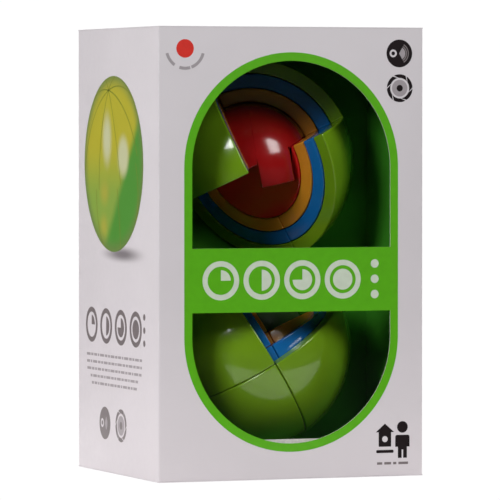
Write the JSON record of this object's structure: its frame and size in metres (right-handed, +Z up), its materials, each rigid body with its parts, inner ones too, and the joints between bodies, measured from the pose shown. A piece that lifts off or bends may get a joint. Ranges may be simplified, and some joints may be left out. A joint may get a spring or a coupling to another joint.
{
  "type": "layered puzzle ball in window carton",
  "caption": "Layered puzzle ball of interlocking curved pieces, packed as two part-built balls on a moulded tray in an upright window carton with a tuck lid.",
  "frame": {"origin": "middle of the carton's underside, on the surface it stands on", "axes": "+Z up along the height, +X along the width, +Y from the window front to the back (the depth)"},
  "size_m": [0.138, 0.118, 0.22],
  "materials": {
    "printed_board": "satin coated white board",
    "clear_film": "clear glossy film",
    "green_tray": "glossy thermoformed sheet",
    "green_plastic": "glossy moulded",
    "blue_plastic": "glossy moulded",
    "yellow_plastic": "glossy moulded",
    "red_plastic": "glossy moulded"
  },
  "bodies": {
    "carton": {"carton_front": "printed_board", "carton_back": "printed_board", "carton_left": "printed_board", "carton_right": "printed_board", "bottom_panel": "printed_board", "bottom_tuck_flap": "printed_board", "bottom_dust_flap_left": "printed_board", "bottom_dust_flap_right": "printed_board", "window_film": "clear_film", "insert_tray": "green_tray", "green_rear_double": "green_plastic", "green_side_double": "green_plastic", "green_base_octant": "green_plastic", "green_right_octant": "green_plastic", "blue_rear_double": "blue_plastic", "blue_side_double": "blue_plastic", "blue_base_octant": "blue_plastic", "blue_right_octant": "blue_plastic", "yellow_rear_double": "yellow_plastic", "yellow_side_double": "yellow_plastic", "yellow_base_octant": "yellow_plastic", "yellow_right_octant": "yellow_plastic", "red_core_front": "red_plastic", "red_core_back": "red_plastic", "red_core_base": "red_plastic"},
    "top_lid": {"top_lid": "printed_board"},
    "top_tuck_flap": {"top_tuck_flap": "printed_board"},
    "top_dust_flap_left": {"top_dust_flap_left": "printed_board"},
    "top_dust_flap_right": {"top_dust_flap_right": "printed_board"},
    "green_front_octant": {"green_front_octant": "green_plastic"},
    "blue_front_octant": {"blue_front_octant": "blue_plastic"},
    "yellow_front_octant": {"yellow_front_octant": "yellow_plastic"},
    "green_left_octant": {"green_left_octant": "green_plastic"},
    "blue_left_octant": {"blue_left_octant": "blue_plastic"},
    "yellow_left_octant": {"yellow_left_octant": "yellow_plastic"}
  },
  "joints": [
    {"name": "lid_hinge", "type": "hinge", "parent": "carton", "child": "top_lid", "pos_m": [0, 0.0592, 0.2195], "axis": [-1, 0, 0], "range_deg": [0, 180]},
    {"name": "tuck_fold", "type": "hinge", "parent": "top_lid", "child": "top_tuck_flap", "pos_m": [0, -0.057, 0.2193], "axis": [-1, 0, 0], "range_deg": [0, 54]},
    {"name": "dust_flap_left_fold", "type": "hinge", "parent": "carton", "child": "top_dust_flap_left", "pos_m": [-0.0682, 0, 0.2192], "axis": [0, -1, 0], "range_deg": [0, 90]},
    {"name": "dust_flap_right_fold", "type": "hinge", "parent": "carton", "child": "top_dust_flap_right", "pos_m": [0.0682, 0, 0.2192], "axis": [0, 1, 0], "range_deg": [0, 90]},
    {"name": "green_front_turn", "type": "hinge", "parent": "carton", "child": "green_front_octant", "pos_m": [0.0012, 0, 0.1535], "axis": [-0.4443, 0.0881, 0.8916], "range_deg": [0, 90]},
    {"name": "blue_front_turn", "type": "hinge", "parent": "carton", "child": "blue_front_octant", "pos_m": [0.0012, 0, 0.1535], "axis": [-0.4443, 0.0881, 0.8916], "range_deg": [0, 90]},
    {"name": "yellow_front_turn", "type": "hinge", "parent": "carton", "child": "yellow_front_octant", "pos_m": [0.0012, 0, 0.1535], "axis": [-0.4443, 0.0881, 0.8916], "range_deg": [0, 90]},
    {"name": "green_left_turn", "type": "hinge", "parent": "carton", "child": "green_left_octant", "pos_m": [0, 0, 0.062], "axis": [0.101, 0.9876, 0.12], "range_deg": [0, 90]},
    {"name": "blue_left_turn", "type": "hinge", "parent": "carton", "child": "blue_left_octant", "pos_m": [0, 0, 0.062], "axis": [0.1029, 0.9926, -0.065], "range_deg": [0, 90]},
    {"name": "yellow_left_turn", "type": "hinge", "parent": "carton", "child": "yellow_left_octant", "pos_m": [0, 0, 0.062], "axis": [0.092, 0.9645, -0.2476], "range_deg": [0, 90]}
  ],
  "couplings": [
    {"joint": "tuck_fold", "follows": "lid_hinge", "ratio": 0.3},
    {"joint": "dust_flap_left_fold", "follows": "lid_hinge", "ratio": 0.5},
    {"joint": "dust_flap_right_fold", "follows": "lid_hinge", "ratio": 0.5}
  ]
}
